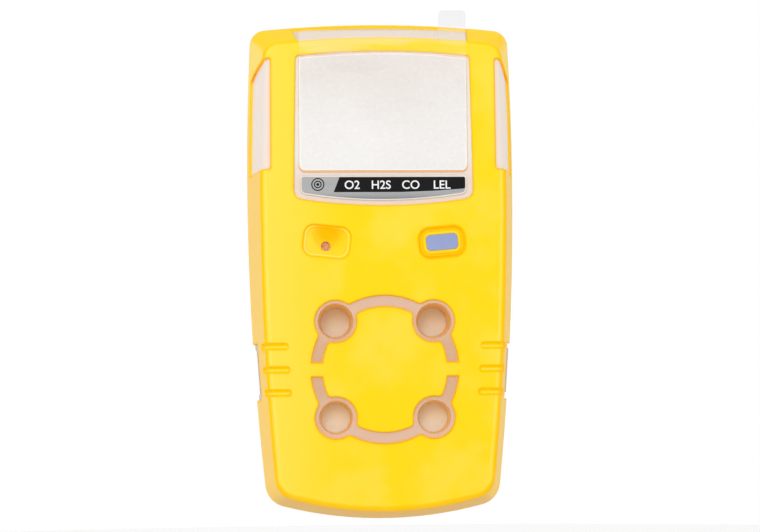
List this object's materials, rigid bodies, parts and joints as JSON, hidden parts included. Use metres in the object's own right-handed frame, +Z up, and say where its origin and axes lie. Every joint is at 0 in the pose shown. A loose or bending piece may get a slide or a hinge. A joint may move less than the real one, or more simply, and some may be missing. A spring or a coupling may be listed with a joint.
{
  "type": "portable gas detector",
  "caption": "Pocket multi-gas detector with an overmoulded translucent case, display window, alarm key, ported sensor ring and a sprung alligator clip on its back.",
  "frame": {"origin": "the clip's bite: where the jaw of the alligator clip meets its base plate, on the body's back plane and centre line", "axes": "+Z up along the body towards the display end, +Y out of the back, so the display and sensor ports face -Y, and +X to the right in a front view"},
  "size_m": [0.0608, 0.0416, 0.113],
  "materials": {
    "overmold_yellow": "satin",
    "shell_clear": "satin",
    "window_clear": "gloss",
    "film": "gloss",
    "nameplate": "satin",
    "key_blue": "satin",
    "key_yellow": "satin",
    "black_plastic": "satin",
    "white_plastic": "satin",
    "lcd_glass": "gloss",
    "board_green": "satin",
    "chip_black": "matte",
    "led": "gloss",
    "foam": "matte",
    "filter_white": "matte",
    "sensor_case": "satin",
    "battery_foil": "satin",
    "seal_rubber": "matte",
    "label": "satin",
    "gold": "gloss",
    "brass": "satin",
    "steel": "satin",
    "nickel": "gloss",
    "spring_steel": "satin",
    "ir_black": "gloss"
  },
  "bodies": {
    "housing": {"front_overmold": "overmold_yellow", "rear_overmold": "overmold_yellow", "front_shell": "shell_clear", "rear_shell": "shell_clear", "display_lens": "window_clear", "screen_film": "film", "nameplate": "nameplate", "switch_body": "black_plastic", "lcd_gasket": "foam", "lcd_glass": "lcd_glass", "backlight_panel": "white_plastic", "lcd_frame": "white_plastic", "lcd_connector": "foam", "main_board": "board_green", "board_components": "chip_black", "board_screws": "steel", "alarm_lights": "led", "buzzer": "black_plastic", "buzzer_gasket": "foam", "buzzer_membrane": "filter_white", "port_filters": "filter_white", "sensor_gasket": "foam", "oxygen_sensor": "sensor_case", "hydrogen_sulfide_sensor": "sensor_case", "carbon_monoxide_sensor": "sensor_case", "combustible_sensor": "sensor_case", "sensor_sockets": "brass", "battery": "battery_foil", "battery_foam": "foam", "vibration_motor": "steel", "motor_boot": "seal_rubber", "perimeter_seal": "seal_rubber", "shell_screws": "steel", "shell_inserts": "brass", "rating_label": "label", "charge_contacts": "gold", "infrared_window": "ir_black", "clip_base": "nickel", "clip_pin": "steel", "clip_spring": "spring_steel", "clip_screw": "steel", "clip_insert": "brass"},
    "clip_arm": {"clip_lever": "nickel"},
    "alarm_key": {"button_key": "key_yellow", "button_pad": "key_blue"},
    "key_switch_stem": {"switch_stem": "white_plastic"},
    "buzz_weight": {"motor_weight": "steel"}
  },
  "joints": [
    {"name": "clip_open", "type": "hinge", "parent": "housing", "child": "clip_arm", "pos_m": [0, 0.0046, 0.024], "axis": [1, 0, 0], "range_deg": [0, 24], "stiffness_Nm_per_rad": 0.06, "springref_deg": -57.3, "deforming": ["clip_spring"]},
    {"name": "button_press", "type": "slide", "parent": "housing", "child": "alarm_key", "axis": [0, 1, 0], "range_m": [0, 0.0005], "stiffness_N_per_m": 200, "springref_m": -0.002},
    {"name": "stem_press", "type": "slide", "parent": "housing", "child": "key_switch_stem", "axis": [0, 1, 0], "range_m": [0, 0.0005]},
    {"name": "motor_spin", "type": "hinge", "parent": "housing", "child": "buzz_weight", "pos_m": [0, -0.0074, 0.039], "axis": [1, 0, 0], "continuous": true}
  ],
  "couplings": [
    {"joint": "stem_press", "follows": "button_press", "ratio": 1}
  ]
}
